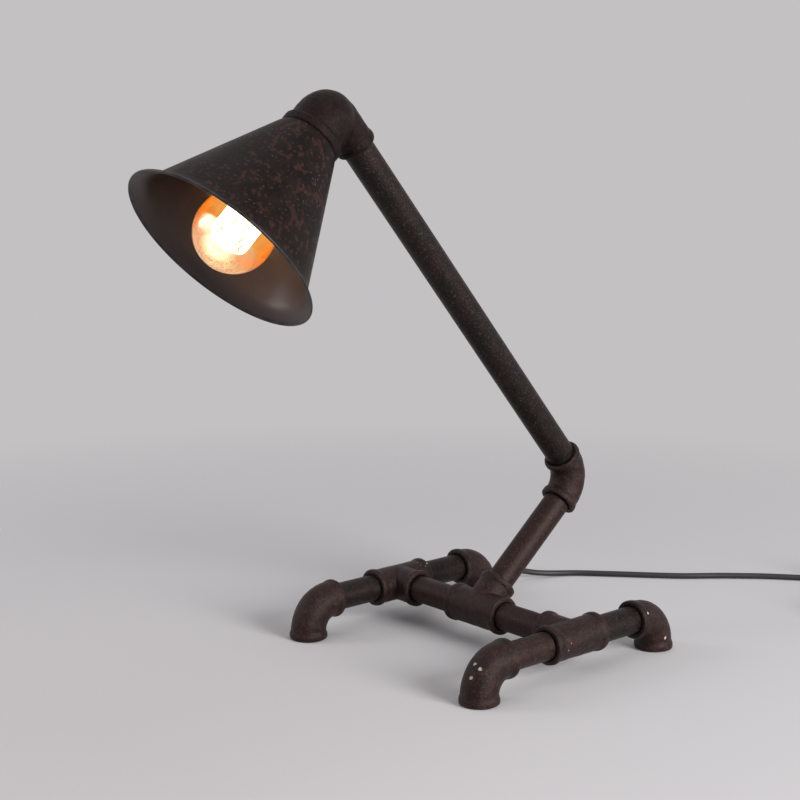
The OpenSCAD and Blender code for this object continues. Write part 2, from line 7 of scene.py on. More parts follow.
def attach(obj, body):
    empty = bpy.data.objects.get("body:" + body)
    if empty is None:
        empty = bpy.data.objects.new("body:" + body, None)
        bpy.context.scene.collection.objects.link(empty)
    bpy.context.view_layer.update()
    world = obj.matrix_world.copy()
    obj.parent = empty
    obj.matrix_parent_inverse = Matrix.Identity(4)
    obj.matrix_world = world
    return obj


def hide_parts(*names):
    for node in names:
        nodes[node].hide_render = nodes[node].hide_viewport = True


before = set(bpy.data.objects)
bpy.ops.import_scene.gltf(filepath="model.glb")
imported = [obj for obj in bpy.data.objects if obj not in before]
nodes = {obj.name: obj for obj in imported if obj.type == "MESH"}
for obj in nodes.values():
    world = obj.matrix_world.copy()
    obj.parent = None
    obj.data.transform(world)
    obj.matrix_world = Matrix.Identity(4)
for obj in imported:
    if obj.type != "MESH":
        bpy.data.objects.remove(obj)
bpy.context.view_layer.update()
scene = bpy.context.scene
scene.view_settings.view_transform = "Standard"

# ------------------------------------------------------------ the lamp's measures, in metres
# X runs to the lamp's right, Y to its back and Z up; the table is at height 0.
MM = 0.001
REACH = 33 * MM                                         # a fitting, from its centre to its face
CROSS_BARE, SIDE_BARE = 51.8 * MM, 47.2 * MM            # pipe between two fittings' faces
HALF_X, HALF_Y = 2 * REACH + CROSS_BARE, 2 * REACH + SIDE_BARE      # from the base's middle to a foot
BASE_BACK = 109 * MM                                    # the crossbar's place along Y
PIPE_R, ARM_R, BORE_R = 12.95 * MM, 13.8 * MM, 10.6 * MM
LEAN, OPEN = math.radians(49.8), math.radians(2.6)      # riser from upright; shade past square to the arm
RISER, ARM = 168 * MM, 469.5 * MM                       # between the fittings' centres
HEAD_SMALL, HEAD_LARGE = 39.8 * MM, 36.4 * MM           # the head elbow's reach to its two faces
SHADE_LEN, SHADE_R, LIP_R, LIP_LEN = 113 * MM, 78 * MM, 90.25 * MM, 10.5 * MM
BULB_LEN, BULB_R = 142 * MM, 33.6 * MM
BULB_REACH = 137.6 * MM                                 # from the head's face to the bulb's tip
CORD_R = 3 * MM

X, Z = Vector((1, 0, 0)), Vector((0, 0, 1))
RISER_DIR = Vector((0, math.sin(LEAN), math.cos(LEAN)))
ARM_DIR = Vector((0, -math.cos(LEAN), math.sin(LEAN)))
SHADE_DIR = Vector((0, -math.sin(LEAN - OPEN), -math.cos(LEAN - OPEN)))
HEAD_SIDE = Vector((0, math.cos(LEAN - OPEN), -math.sin(LEAN - OPEN)))
TEE_AT = Vector((0, BASE_BACK, REACH))
ELBOW_AT = TEE_AT + RISER * RISER_DIR
HEAD_AT = ELBOW_AT + ARM * ARM_DIR
BULB_FROM = HEAD_LARGE + BULB_REACH - BULB_LEN          # the bulb's own zero along the shade's axis


def aim(at, x, z):
    """Matrix of a place whose X and Z axes run along two given directions."""
    y = z.cross(x)
    return Matrix((
        (x.x, y.x, z.x, at[0]), (x.y, y.y, z.y, at[1]), (x.z, y.z, z.z, at[2]), (0, 0, 0, 1)))


AT_HEAD = aim(HEAD_AT, HEAD_SIDE, SHADE_DIR)
AT_BULB = AT_HEAD @ Matrix.Translation((0, 0, BULB_FROM))

# ------------------------------------------------------------ camera
AZ, EL, AWAY = math.radians(48.76), math.radians(10.63), 1.46068
FOCAL_PX, PICTURE_PX, SENSOR_MM = 1744.86, 800, 36
LOOK_AT = Vector((0.06249, -0.15502 + BASE_BACK, 0.26149))
back = Vector((math.sin(AZ) * math.cos(EL), -math.cos(AZ) * math.cos(EL), math.sin(EL)))
camera = bpy.data.objects.new("camera", bpy.data.cameras.new("camera"))
scene.collection.objects.link(camera)
camera.data.sensor_width = SENSOR_MM
camera.data.lens = FOCAL_PX / PICTURE_PX * SENSOR_MM
camera.data.clip_start, camera.data.clip_end = 0.05, 50
camera.location = LOOK_AT + AWAY * back
camera.rotation_euler = back.to_track_quat("Z", "Y").to_euler()
scene.camera = camera


# ------------------------------------------------------------ materials
WARM = (1.0, 0.84, 0.79)                                # the tint of the oiled metal's gloss


class Socket:
    """An output of a node; sums on it add Math nodes."""

    def __init__(self, owner, socket):
        self.owner, self.socket = owner, socket

    def math(self, operation, *others, clamp=False):
        return self.owner.node("Math", [self, *others], operation=operation, use_clamp=clamp)

    def __add__(self, other):
        return self.math("ADD", other)

    def __sub__(self, other):
        return self.math("SUBTRACT", other)

    def __rsub__(self, other):
        return self.owner.node("Math", [other, self], operation="SUBTRACT")

    def __mul__(self, other):
        return self.math("MULTIPLY", other)

    __radd__, __rmul__ = __add__, __mul__

    def above(self, edge, soft):
        """0 below the edge and 1 above it, with a step that is soft on either side."""
        return (self - (edge - soft)).math("MULTIPLY", 0.5 / soft, clamp=True)


class Shader:
    """The node tree of a material or of the world."""

    def __init__(self, owner):
        owner.use_nodes = True
        self.owner, self.tree = owner, owner.node_tree
        self.tree.nodes.clear()

    def node(self, kind, inputs=(), out=0, **settings):
        """A node with its settings and its inputs, by number or name; gives one of its outputs."""
        made = self.tree.nodes.new("ShaderNode" + kind)
        for key, value in settings.items():
            setattr(made, key, value)
        pairs = inputs.items() if isinstance(inputs, dict) else enumerate(inputs)
        for key, value in pairs:
            if isinstance(value, Socket):
                self.tree.links.new(value.socket, made.inputs[key])
                continue
            if isinstance(value, tuple) and len(value) < len(made.inputs[key].default_value):
                value = (*value, 1)
            made.inputs[key].default_value = value
        return Socket(self, made.outputs[out]) if made.outputs else None


class Material(Shader):
    """A material whose patterns stay on its piece."""

    def __init__(self, name):
        super().__init__(bpy.data.materials.new(name))
        self.where = self.node("TexCoord", out="Object")

    def noise(self, scale, detail=4.0, rough=0.55, distort=0.0, where=None):
        """Cloudy noise about 0.5; scale is its lumps in a metre."""
        return self.node("TexNoise", {"Vector": where or self.where, "Scale": scale, "Detail": detail,
                                      "Roughness": rough, "Distortion": distort})

    def cells(self, scale, **settings):
        """How far a point lies from the nearest of many scattered dots."""
        return self.node("TexVoronoi", {"Vector": self.where, "Scale": scale}, out="Distance", **settings)

    def mix(self, factor, a, b):
        """From colour a to colour b. A Mix node's colours are sockets 6 and 7, and its output 2."""
        return self.node("Mix", {0: factor, 6: a, 7: b}, out=2, data_type="RGBA")

    def bump(self, height, distance, strength):
        """Relief whose full step is distance high."""
        return self.node("Bump", {"Height": height, "Distance": distance, "Strength": strength})

    def stretched(self, factors, turn):
        """The piece's own coordinates, turned and scaled, so that a pattern falls elsewhere."""
        return self.node("Mapping", {"Vector": self.where, "Scale": factors, "Rotation": turn})

    def finish(self, **inputs):
        """The material with a Principled shader; a name's underscores stand for spaces."""
        names = {k.replace("_", " "): v for k, v in inputs.items()}
        return self.surface(self.node("BsdfPrincipled", names, out="BSDF"))

    def surface(self, shader):
        """The material with the given shader as its surface."""
        self.node("OutputMaterial", {"Surface": shader})
        return self.owner


# The bare chips on the right feet: place and radius.
CHIPS = [(Vector(at) * MM, size * MM) for at, size in (
    ((117.6, -9.5, 36.1), 1.7), ((124.3, -10, 33.5), 1.3), ((120.1, -16.4, 25.9), 1.1),
    ((132.6, 196.2, 41.9), 1.2), ((134.5, 219.1, 13.3), 1.1))]
CHIP_RAGGED = 2.65 * MM                                 # the mean of the noise that tears a chip's edge
BARE, DEEP_DIRT = (0.44, 0.39, 0.345), (0.005, 0.0042, 0.004)


def scaled(colour, by):
    """A colour made lighter or darker."""
    return tuple(by * c for c in colour)


def cast_iron(name, tone, gloss):
    """Dark brown oiled casting: fine sand texture, reddish clouds, a few bare chips, lighter worn convex
    edges, and painted shade in concave creases.
    """
    m = Material(name)
    cloud, blot = m.noise(45, 4), m.noise(150, 5, 0.65)
    sand, grit = m.noise(560, 4, 0.7), m.noise(1900, 2, 0.6)
    brown = m.mix(cloud.above(0.5, 0.14),
                  scaled((0.0085, 0.0048, 0.0043), tone), scaled((0.022, 0.0088, 0.0078), tone))
    brown = m.mix(blot.above(0.56, 0.07) * 0.7, brown, scaled((0.045, 0.0185, 0.0155), tone))
    brown = m.mix(sand.above(0.61, 0.06) * 0.55, brown, scaled((0.082, 0.053, 0.046), tone))
    brown = m.mix((1 - sand).above(0.6, 0.06) * 0.7, brown, DEEP_DIRT)
    crease = m.node("NewGeometry", out="Pointiness")
    # Painted shade: concave creases are darkened towards black.
    brown = m.mix((0.5 - crease).above(0.02, 0.015) * 0.8, brown, (0.0035, 0.003, 0.0028))
    brown = m.mix(crease.above(0.545, 0.03) * 0.4, brown, (0.07, 0.043, 0.037))
    flake = m.cells(240, feature="SMOOTH_F1")
    group = m.noise(33, 2, where=m.stretched((1, 1, 1), (1, 2, 3)))
    chip = (blot * 0.3 - flake).above(0.03, 0.012) * group.above(0.66, 0.02)
    ragged = blot * (3.5 * MM) + sand * (2 * MM)
    for place, size in CHIPS:
        away = m.node("VectorMath", [m.where, tuple(place)], out="Value", operation="DISTANCE")
        chip = chip.math("MAXIMUM", (ragged - away).above(CHIP_RAGGED - size, 0.2 * MM))
    colour = m.mix(chip, brown, BARE)
    return m.finish(
        Base_Color=colour, Roughness=blot * 0.35 + sand * 0.25 + 0.13,
        Specular_IOR_Level=gloss, Specular_Tint=WARM,
        Normal=m.bump(sand * 0.7 + grit * 0.25 + blot * 0.9 + cloud * 0.8, 1.1 * MM, 0.7))


def pipe_steel(name, green, brown, share):
    """Drawn pipe, smoother than the castings, dark and oiled; share is how much of it is brown."""
    m = Material(name)
    cloud, blot = m.noise(26, 3), m.noise(110, 5, 0.65)
    sand, fine = m.noise(560, 3, 0.65), m.noise(1700, 2)
    colour = m.mix((cloud * 0.7 + blot * 0.3).above(1 - share, 0.1), green, brown)
    colour = m.mix(blot.above(0.57, 0.06) * 0.5, colour, scaled(brown, 1.9))
    colour = m.mix(sand.above(0.62, 0.04) * 0.5, colour, (0.085, 0.062, 0.055))
    colour = m.mix((1 - sand).above(0.62, 0.05) * 0.6, colour, (0.005, 0.005, 0.0045))
    return m.finish(
        Base_Color=colour, Roughness=blot * 0.35 + sand * 0.25 + 0.12,
        Specular_IOR_Level=0.18, Specular_Tint=WARM,
        Normal=m.bump(sand * 0.6 + fine * 0.3 + blot * 1.1, 0.8 * MM, 0.75))


def shade_outside():
    """Blackened sheet with clustered rust flecks and greyer worn patches."""
    m = Material("shade_outside")
    drift, ragged, sand = m.noise(15, 3), m.noise(260, 4, 0.6), m.noise(1100, 3, 0.65)
    worn = m.noise(75, 5, 0.65, where=m.stretched((1, 1, 1), (2, 1, 0.5)))
    black = m.mix(worn.above(0.52, 0.12), (0.0036, 0.002, 0.0016), (0.0088, 0.0054, 0.0047))
    gate = drift.above(0.46, 0.2) * 0.045 + 0.004
    blotch = m.noise(150, 2, 0.5, 0.35, where=m.stretched((1, 1, 0.8), (0.4, 0.2, 0.9)))
    speckle, dot = m.noise(330, 3, 0.55), m.cells(150)
    colour = m.mix((blotch + gate).above(0.65, 0.03) * 0.8, black, (0.033, 0.0132, 0.01))
    colour = m.mix((speckle + gate).above(0.685, 0.025) * 0.75, colour, (0.052, 0.0225, 0.0175))
    colour = m.mix((ragged * 0.42 + gate - dot).above(0.05, 0.03) * 0.6, colour, (0.046, 0.02, 0.0155))
    pale = (0.15 - m.cells(240)).above(0.03, 0.02) * m.noise(60, 2).above(0.58, 0.02)
    colour = m.mix(pale * 0.7, colour, (0.16, 0.125, 0.11))
    return m.finish(
        Base_Color=colour, Roughness=worn * 0.3 + sand * 0.15 + 0.22,
        Specular_IOR_Level=0.13, Specular_Tint=WARM,
        Normal=m.bump(sand * 0.5 + ragged * 0.4, 0.4 * MM, 0.5))


def shade_inside():
    """Smoother brown lacquer inside, satin, lighter where it faces up with dust and a painted sheen, and
    flecked with dust.
    """
    m = Material("shade_inside")
    drift, sand, dust = m.noise(20, 4), m.noise(900, 3, 0.6), m.noise(420, 3, 0.6, 0.3)
    colour = m.mix(drift.above(0.5, 0.2), (0.0078, 0.0032, 0.0015), (0.014, 0.0066, 0.0042))
    # Dust and painted sheen: the inside is lighter where it faces up.
    dust_and_sheen_up = m.node("SeparateXYZ", [m.node("TexCoord", out="Normal")], out="Z")
    colour = m.mix((dust_and_sheen_up + drift * 0.3 - 0.15).above(0.2, 0.45) * 0.7, colour, (0.135, 0.1, 0.094))
    colour = m.mix(dust.above(0.7, 0.04) * 0.5, colour, (0.12, 0.085, 0.07))
    return m.finish(
        Base_Color=colour, Roughness=drift * 0.14 + sand * 0.1 + 0.27,
        Specular_IOR_Level=0.55, Specular_Tint=WARM,
        Normal=m.bump(sand, 0.12 * MM, 0.4))


def rim_steel():
    """The shade's rolled lip, worn a little brighter."""
    m = Material("shade_rim")
    wear, sand = m.noise(120, 4), m.noise(900, 3)
    colour = m.mix(wear.above(0.5, 0.14), (0.009, 0.0078, 0.007), (0.04, 0.034, 0.031))
    return m.finish(Base_Color=colour, Roughness=sand * 0.2 + 0.26, Specular_IOR_Level=0.3,
                    Normal=m.bump(sand, 0.2 * MM, 0.4))


def grime():
    """Painted shade: near-black where a pipe or the shade meets a fitting, standing in for the shadow in
    the gap.
    """
    m = Material("painted_joint_shade")
    sand = m.noise(700, 3, 0.6)
    colour = m.mix(sand.above(0.58, 0.1), (0.0028, 0.0025, 0.0024), (0.011, 0.008, 0.007))
    return m.finish(Base_Color=colour, Roughness=sand * 0.2 + 0.7, Specular_IOR_Level=0.2,
                    Normal=m.bump(sand, 0.4 * MM, 0.6))


def moulded(name, colour, rough, grain=1500):
    """Dark rubber, plastic or bakelite with a fine grain."""
    m = Material(name)
    fine, cloud = m.noise(grain, 3, 0.6), m.noise(40, 3)
    tone = m.mix(cloud.above(0.5, 0.25), colour, scaled(colour, 1.6))
    return m.finish(Base_Color=tone, Roughness=fine * 0.15 + rough, Normal=m.bump(fine, 0.12 * MM, 0.5))


def metal(name, colour, rough, dirt):
    """Bare brass or plated steel; dirt is how dark its patches are."""
    m = Material(name)
    fine, cloud = m.noise(900, 4, 0.6), m.noise(120, 4)
    tone = m.mix(cloud.above(0.55, 0.15) * dirt, colour, scaled(colour, 0.45))
    return m.finish(Base_Color=tone, Metallic=1.0, Roughness=fine * 0.12 + rough,
                    Normal=m.bump(fine, 0.08 * MM, 0.4))


def glowing(name, colour, strength, alpha=1.0):
    """A hot or lit part of the bulb."""
    m = Material(name)
    even = m.noise(300, 2)
    tone = m.mix(even.above(0.5, 0.3) * 0.3, colour, tuple(min(1.0, 1.2 * c) for c in colour))
    return m.finish(Base_Color=tone, Emission_Color=tone, Emission_Strength=strength, Alpha=alpha,
                    Roughness=0.6)


# Places on the bulb's globe, as directions from its centre: the painted reflection specks, the two painted
# glare patches, and the lower front.
REFLECTION_SPECKS, GLARE_FRONT, GLARE_LOW = (0.3545, -0.776, -0.515), (0.26, -0.9, 0.35), (0.5, -0.84, -0.21)
UNDER_FRONT = (-0.4, -0.4, -0.82)


def bulb_glass_material():
    """Lit amber glass: orange towards the neck, a peach veil in front, painted glare patches, and golden
    specks of painted reflection.
    """
    m = Material("bulb_glass_lit")
    centre = AT_BULB @ Vector((0, 0, BULB_LEN - BULB_R))
    offset = m.node("VectorMath", [m.where, tuple(centre)], operation="SUBTRACT")
    drift, wisp = m.noise(55, 3, 0.5, 0.8), m.noise(300, 5, 0.7, 1.5)

    def level(way):
        """How far a point of the globe lies along a direction, -1 to 1."""
        along = m.node("VectorMath", [offset, tuple(way)], out="Value", operation="DOT_PRODUCT")
        return along * (1 / BULB_R)

    def away(way):
        """How far a point lies from a place on the globe."""
        place = tuple(BULB_R * Vector(way))
        return m.node("VectorMath", [offset, place], out="Value", operation="DISTANCE")

    def patch(way, size, soft):
        """A patch round a place, its edge wavering by the drift, whose mean is 3 mm."""
        return (drift * (6 * MM) - away(way)).above(3 * MM - size, soft)

    veil = (level(SHADE_DIR) + drift * 0.16).above(0.36, 0.035)
    lit = level(UNDER_FRONT).above(0.0, 0.75)
    # Painted reflection: golden specks near the lower front of the globe.
    speckled_reflection = wisp.above(0.52, 0.025) * (14 * MM - away(REFLECTION_SPECKS)).above(0.0, 5 * MM)
    # Painted glare: two bright patches on the front of the globe.
    painted_glare = patch(GLARE_FRONT, 8.5 * MM, 4.5 * MM).math("MAXIMUM", patch(GLARE_LOW, 12 * MM, 5.5 * MM))
    edge = m.node("LayerWeight", {"Blend": 0.35}, out="Facing")
    tone = m.mix(veil, (0.62, 0.15, 0.006), (0.7, 0.42, 0.2))
    glare = m.mix(veil, (0.3, 0.082, 0.004), m.mix(lit, (0.085, 0.048, 0.024), (0.135, 0.095, 0.056)))
    glare = m.mix(edge.above(0.75, 0.2) * veil * 0.6, glare, (0.2, 0.12, 0.07))
    glare = m.mix(painted_glare * veil, glare, (1.0, 0.86, 0.6))
    glare = m.mix(speckled_reflection * 0.85, glare, (0.52, 0.38, 0.12))
    cover = 0.42 - veil * 0.12 + lit * 0.1 + painted_glare * 0.25 + speckled_reflection * 0.35
    cover = cover + edge.above(0.8, 0.2) * 0.3 + drift * 0.2
    return m.finish(
        Base_Color=tone, Roughness=0.05, Emission_Color=glare, Emission_Strength=2.0,
        Alpha=cover, Coat_Weight=1.0, Coat_Roughness=0.14, Coat_IOR=1.9)


GLARE_MIDDLE, GLARE_HALF = 84 * MM, 34 * MM             # of the glare round the cage, along the bulb
UPRIGHT = -(math.pi - LEAN + OPEN)                      # turns the shade's axis parallel to Z


def cage_glow():
    """The glare of the hot strands, streaked along the cage and frayed at its ends."""
    m = Material("cage_glare")
    turned = m.node("VectorRotate", {
        "Vector": m.where, "Center": tuple(HEAD_AT), "Axis": (1, 0, 0), "Angle": UPRIGHT},
        rotation_type="AXIS_ANGLE")
    streak = m.noise(1.0, where=m.node("Mapping", {"Vector": turned, "Scale": (420, 420, 40)}))
    ragged = m.noise(240, 3)
    centre = tuple(AT_BULB @ Vector((0, 0, GLARE_MIDDLE)))
    offset = m.node("VectorMath", [m.where, centre], operation="SUBTRACT")
    along = m.node("VectorMath", [offset, tuple(SHADE_DIR)], out="Value", operation="DOT_PRODUCT")
    frayed = (along.math("ABSOLUTE") * (1 / GLARE_HALF)).above(0.8, 0.12) * streak.above(0.46, 0.04)
    tone = m.mix(streak.above(0.55, 0.03), (1.0, 0.86, 0.6), (0.045, 0.026, 0.004))
    return m.finish(Base_Color=(0, 0, 0), Emission_Color=tone, Emission_Strength=11.0, Roughness=1.0,
                    Specular_IOR_Level=0.0, Alpha=ragged.above(0.33, 0.05) * (1 - frayed) * 0.92)


def halo():
    """Soft glare round the cage: each of the nested shells adds a little."""
    m = Material("cage_halo")
    drift = m.noise(70, 3)
    return m.finish(Base_Color=(0, 0, 0), Emission_Color=(1.0, 0.5, 0.14), Emission_Strength=2.2,
                    Roughness=1.0, Specular_IOR_Level=0.0, Alpha=drift * 0.15)


MAT = {
    "fitting": cast_iron("cast_iron", 0.9, 0.22),
    # Painted shade: the head elbow gets a darker copy of the casting, for the shade it lies in.
    "head": cast_iron("cast_iron_head_shaded", 0.45, 0.12),
    "pipe": pipe_steel("pipe_steel", (0.0085, 0.0069, 0.0058), (0.022, 0.0108, 0.0094), 0.55),
    "dark_pipe": pipe_steel("pipe_steel_dark", (0.0042, 0.0038, 0.0031), (0.0105, 0.0058, 0.005), 0.5),
    "riser": pipe_steel("riser_steel", (0.0095, 0.0056, 0.0047), (0.0185, 0.0083, 0.007), 0.66),
    "arm": pipe_steel("arm_steel", (0.0054, 0.0048, 0.0038), (0.0105, 0.006, 0.0051), 0.48),
    "shade": shade_outside(),
    "inside": shade_inside(),
    "rim": rim_steel(),
    "cord": moulded("cord_rubber", (0.011, 0.011, 0.011), 0.42),
    "plug": moulded("plug_rubber", (0.013, 0.013, 0.013), 0.5, 1100),
    "switch": moulded("switch_plastic", (0.014, 0.014, 0.014), 0.4, 1300),
    "rocker": moulded("rocker_plastic", (0.022, 0.022, 0.022), 0.3, 1300),
    "holder": moulded("holder_bakelite", (0.014, 0.012, 0.011), 0.25, 700),
    "brass": metal("brass", (0.56, 0.38, 0.14), 0.3, 0.5),
    "plated": metal("plated_steel", (0.62, 0.62, 0.6), 0.22, 0.3),
    "filament": glowing("filament_hot", (1.0, 0.74, 0.34), 60.0),
    "support": glowing("support_wire", (1.0, 0.62, 0.26), 4.0),
    "glow": cage_glow(),
    "halo": halo(),
    "grime": grime(),
    "glass": bulb_glass_material(),
    "stem": glowing("stem_glass", (1.0, 0.7, 0.4), 1.2, 0.35),
}


# ------------------------------------------------------------ making pieces
TOUCHING = 0.001 * MM                                   # points nearer than this are one


def in_mm(points, up=0.0):
    """A profile written in millimetres, its heights counted from up, in metres."""
    return [(r * MM, up + z * MM) for r, z in points]


def piece(name, mesh, material, body, *replaced, slot=None):
    """Puts a mesh or curve in the scene, on its body, in place of the CAD nodes it stands for."""
    made = bpy.data.objects.new(name, mesh)
    scene.collection.objects.link(made)
    for each in material if isinstance(material, list) else [material]:
        mesh.materials.append(MAT[each])
    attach(made, body)
    if replaced:
        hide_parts(*replaced)
    return made


def lathe(name, profile, place, material, body, *replaced, around=128, slot=None, bands=None):
    """A turned piece: its profile, (radius, height) in metres, spun round Z and set in its place.
    bands gives the material number of each stretch of the profile."""
    bm = bmesh.new()
    points = [bm.verts.new((r, 0, z)) for r, z in profile]
    stretches = {}
    for i, (a, b) in enumerate(zip(points, points[1:])):
        if max(a.co.x, b.co.x) > TOUCHING:
            stretches.setdefault(bands[i] if bands else 0, []).append(bm.edges.new((a, b)))
    for number, edges in stretches.items():
        earlier = set(bm.faces)
        ends = list(dict.fromkeys(v for edge in edges for v in edge.verts))
        bmesh.ops.spin(bm, geom=ends + edges, cent=(0, 0, 0), axis=(0, 0, 1), angle=2 * math.pi,
                       steps=around, use_merge=True)
        for face in set(bm.faces) - earlier:
            face.smooth, face.material_index = True, number
    bmesh.ops.remove_doubles(bm, verts=bm.verts, dist=TOUCHING)
    bmesh.ops.recalc_face_normals(bm, faces=bm.faces)
    bm.transform(place)
    mesh = bpy.data.meshes.new(name)
    bm.to_mesh(mesh)
    bm.free()
    return piece(name, mesh, material, body, *replaced, slot=slot)


def arc(centre, radius, start, end, count):
    """Points of an arc in a profile, angles in degrees."""
    turns = [math.radians(start + (end - start) * i / count) for i in range(count + 1)]
    return [(centre[0] + radius * math.cos(a), centre[1] + radius * math.sin(a)) for a in turns]


def wire(name, points, radius, material, body, *replaced, slot=None, resolution=6):
    """A round wire or cord along points, as a curve of one open spline."""
    curve = bpy.data.curves.new(name, "CURVE")
    curve.dimensions = "3D"
    curve.bevel_depth = radius
    curve.bevel_resolution = resolution
    curve.use_fill_caps = True
    spline = curve.splines.new("POLY")
    spline.points.add(len(points) - 1)
    for p, q in zip(spline.points, points):
        p.co = (*q, 1)
    spline.use_smooth = True
    return piece(name, curve, material, body, *replaced, slot=slot)


ROUTE_STEPS = 4                                         # points of the curve for each of a route's


def smooth_route(points):
    """A smooth curve through a route's points."""
    out = []
    n = len(points)
    for i in range(n - 1):
        p0, p1, p2, p3 = points[max(i - 1, 0)], points[i], points[i + 1], points[min(i + 2, n - 1)]
        for k in range(ROUTE_STEPS):
            t = k / ROUTE_STEPS
            out.append(0.5 * (2 * p1 + (p2 - p0) * t + (2 * p0 - 5 * p1 + 4 * p2 - p3) * t * t
                              + (3 * p1 - p0 - 3 * p2 + p3) * t ** 3))
    return out + [points[-1]]


def length_of(points):
    """The length of a path."""
    return sum((b - a).length for a, b in zip(points, points[1:]))


COARSE, FINE, INWARD = 95, 230, 0.35                    # the lumps' scales, and their lean inwards


def softened(node, voxel, smoothing, material, body, slot, uneven=0.0):
    """A copy of a CAD solid with the rounded edges and blended corners of a casting or moulding.
    voxel and uneven, the height of the skin's gentle lumps, are in millimetres."""
    bm = bmesh.new()
    bm.from_mesh(nodes[node].data)
    bmesh.ops.remove_doubles(bm, verts=bm.verts, dist=TOUCHING)
    source = bpy.data.meshes.new("work")
    bm.to_mesh(source)
    bm.free()
    work = bpy.data.objects.new("work", source)         # a helper, which is removed again
    scene.collection.objects.link(work)
    remesh = work.modifiers.new("remesh", "REMESH")
    remesh.mode, remesh.voxel_size = "VOXEL", voxel * MM
    smooth = work.modifiers.new("smooth", "SMOOTH")
    smooth.factor, smooth.iterations = 0.5, smoothing
    bpy.context.view_layer.update()
    mesh = bpy.data.meshes.new_from_object(work.evaluated_get(bpy.context.evaluated_depsgraph_get()))
    bpy.data.objects.remove(work)
    mesh.materials.clear()
    for face in mesh.polygons:
        face.use_smooth = True
        face.material_index = 0
    if uneven:
        moved = []
        for vertex in mesh.vertices:
            lump = noise.noise(vertex.co * COARSE) + 0.5 * noise.noise(vertex.co * FINE) - INWARD
            moved.extend(vertex.co + vertex.normal * (uneven * MM * lump))
        mesh.vertices.foreach_set("co", moved)
    return piece("cast_" + node, mesh, material, body, node, slot=slot)


# ------------------------------------------------------------ cords
def mm(*numbers):
    """A place or a step written in millimetres."""
    return Vector(numbers) * MM


BUSH_SEAT, BUSH_LEN, BUSH_UP = BASE_BACK + HALF_Y + 14.2 * MM, 30 * MM, 14 * MM
CORD_EXIT = Vector((-HALF_X, BUSH_SEAT + BUSH_LEN, BUSH_UP))
SWITCH_TURN, SWITCH_HALF = math.radians(41.5), 33 * MM
SWITCH_DIR = Vector((math.cos(SWITCH_TURN), math.sin(SWITCH_TURN), 0))
SWITCH_AT = mm(128, 551.5, 0)
SWITCH_END = SWITCH_HALF * SWITCH_DIR
CORD_UP = mm(0, 0, 9.5)                                 # the cord's height where it meets the switch

# The cord lies on the table from the foot to the switch, and from there to the coil and the plug.
lead = [CORD_EXIT] + [mm(*p) for p in (
    (-117.4, 277, 12.6), (-116, 289, 9.4), (-113, 301, 6.4), (-108.5, 314, 4.3), (-102, 327, 3.3),
    (-93, 340, 3), (-82, 351, 3), (-70, 362, 3), (-56, 375, 3), (-42, 387.5, 3), (-26, 402, 3),
    (-10.5, 417, 3), (3, 433, 3), (16.5, 449.5, 3), (31, 465, 3), (46, 480.5, 3), (62, 494.5, 3),
    (78, 508, 3), (88, 516.7, 4.2), (96, 523.6, 7.6))] + [SWITCH_AT - SWITCH_END + CORD_UP]
link = [SWITCH_AT + SWITCH_END + CORD_UP] + [mm(*p) for p in (
    (162, 580.5, 8.6), (174, 587, 6), (188, 591, 3.3), (203, 591, 3), (218, 587, 3), (231, 578.5, 3),
    (241.5, 566, 3), (249, 550, 3), (253.5, 532, 3), (256, 512, 3), (256, 491, 3), (253.5, 470, 3))]
tail = [mm(*p) for p in ((167, 474, 10.3), (169.3, 484, 11.5), (172, 494, 12))]

# The coil winds inwards on the table, steps up a layer, and winds outwards again; in millimetres.
COIL_AT, COIL_R, COIL_PITCH, COIL_RISE, COIL_TURNS, COIL_START = (206, 452), 43, 6.9, 6.8, 5.5, -9
COIL_STEPS, COIL_LEAD = 48, 6                           # points in a turn; straight bit at each end


def coil_point(t):
    """A point of the coil after t turns."""
    turn = math.radians(COIL_START - 360 * t)
    r = COIL_R - COIL_PITCH * min(t, COIL_TURNS - t)
    up = min(1, max(0, t - COIL_TURNS / 2 + 0.25) * 2)
    return mm(COIL_AT[0] + r * math.cos(turn), COIL_AT[1] + r * math.sin(turn),
              CORD_R / MM + COIL_RISE * up * up * (3 - 2 * up))


def coil_way(t):
    """A short step along the coil after t turns."""
    turn = math.radians(COIL_START - 360 * t)
    return mm(math.sin(turn), -math.cos(turn), 0) * COIL_LEAD


coil = [coil_point(0) - coil_way(0)]
coil += [coil_point(i / COIL_STEPS) for i in range(int(COIL_STEPS * COIL_TURNS) + 1)]
coil.append(coil_point(COIL_TURNS) + coil_way(COIL_TURNS))

near_path = smooth_route(lead)
far_path = smooth_route(link + coil[:1])[:-1] + coil[:-1] + smooth_route(coil[-1:] + tail)
near_cord = wire("cord_to_switch", near_path, CORD_R, "cord", "base", "cord_lead", slot="cord")
far_cord = wire("cord_to_plug", far_path, CORD_R, "cord", "base", "cord_link", "cord_coil", "cord_tail",
                slot="cord")


def dress(material, *names):
    """Gives CAD nodes that are kept as they are one material."""
    for name in names:
        nodes[name].data.materials.clear()
        nodes[name].data.materials.append(MAT[material])


bush = softened("cord_bush", 0.35, 3, "plug", "base", "plug")
switch = [softened("switch_base", 0.4, 4, "switch", "base", "switch"),
          softened("switch_cover", 0.4, 4, "switch", "base", "switch"),
          softened("switch_rocker", 0.3, 3, "rocker", "rocker", "rocker")]
plug = [softened("plug_body", 0.4, 5, "plug", "base", "plug")]
dress("plated", "plug_blades", "plug_earth_pin", "switch_screws")
dress("brass", "switch_contacts")

length_of(near_path)
length_of(far_path)

# ------------------------------------------------------------ leads inside the pipes
# The lead has a stretch for each body, cut on the axis that the next body turns about.
foot = Vector((-HALF_X, BASE_BACK + HALF_Y, REACH))
side = Vector((-HALF_X, BASE_BACK, REACH))
TILT_CUT, SWING_CUT, TURN_CUT, GAP = 20 * MM, RISER - 24 * MM, ARM - 30 * MM, 0.4 * MM

